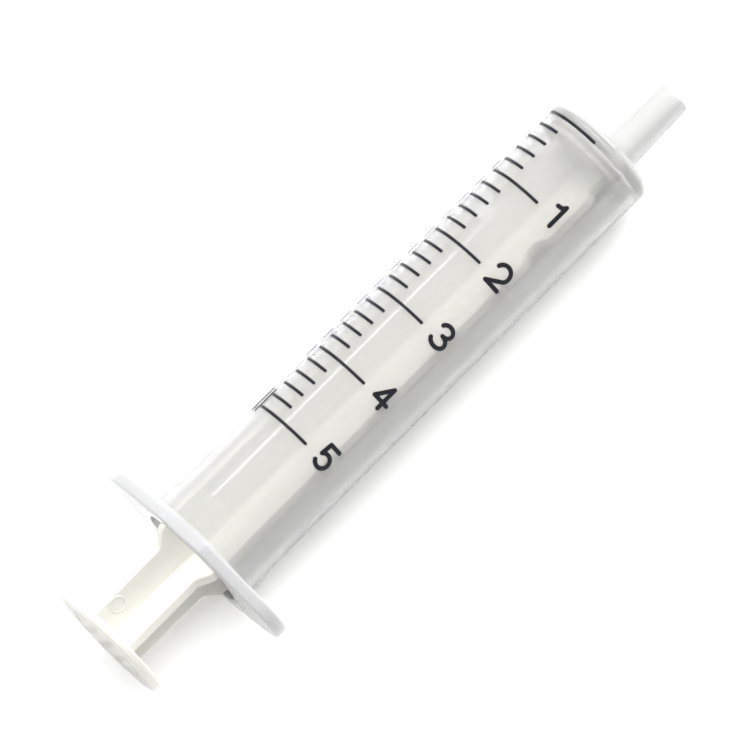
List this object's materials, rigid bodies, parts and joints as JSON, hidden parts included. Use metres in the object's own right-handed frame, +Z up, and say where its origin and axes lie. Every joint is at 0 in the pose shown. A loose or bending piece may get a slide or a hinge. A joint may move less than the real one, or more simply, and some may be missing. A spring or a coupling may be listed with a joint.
{
  "type": "oral syringe",
  "caption": "Two-piece oral dosing syringe: clear graduated barrel with a winged finger flange and an off-centre tapered nozzle, and a sliding cross-rib plunger with a thumb disc.",
  "frame": {"origin": "middle of the bottom of the bounding box, under the barrel, with the plunger pushed in and the syringe lying on its flange", "axes": "+X along the barrel towards the nozzle, +Y along the wings of the finger flange, +Z up, the side the scale faces"},
  "size_m": [0.0854, 0.0262, 0.0147],
  "materials": {
    "clear_polypropylene": "smooth translucent moulding, slightly milky",
    "white_polyethylene": "waxy off-white moulding",
    "black_ink": "thin printed ink"
  },
  "bodies": {
    "barrel": {"barrel": "clear_polypropylene", "line_0_0_ml": "black_ink", "line_0_2_ml": "black_ink", "line_0_4_ml": "black_ink", "line_0_6_ml": "black_ink", "line_0_8_ml": "black_ink", "line_1_0_ml": "black_ink", "line_1_2_ml": "black_ink", "line_1_4_ml": "black_ink", "line_1_6_ml": "black_ink", "line_1_8_ml": "black_ink", "line_2_0_ml": "black_ink", "line_2_2_ml": "black_ink", "line_2_4_ml": "black_ink", "line_2_6_ml": "black_ink", "line_2_8_ml": "black_ink", "line_3_0_ml": "black_ink", "line_3_2_ml": "black_ink", "line_3_4_ml": "black_ink", "line_3_6_ml": "black_ink", "line_3_8_ml": "black_ink", "line_4_0_ml": "black_ink", "line_4_2_ml": "black_ink", "line_4_4_ml": "black_ink", "line_4_6_ml": "black_ink", "line_4_8_ml": "black_ink", "line_5_0_ml": "black_ink", "numeral_1": "black_ink", "numeral_2": "black_ink", "numeral_3": "black_ink", "numeral_4": "black_ink", "numeral_5": "black_ink", "side_bars": "black_ink", "side_dashes": "black_ink"},
    "plunger": {"plunger": "white_polyethylene"}
  },
  "joints": [
    {"name": "plunger_slide", "type": "slide", "parent": "barrel", "child": "plunger", "axis": [-1, 0, 0], "range_m": [0, 0.05]}
  ]
}
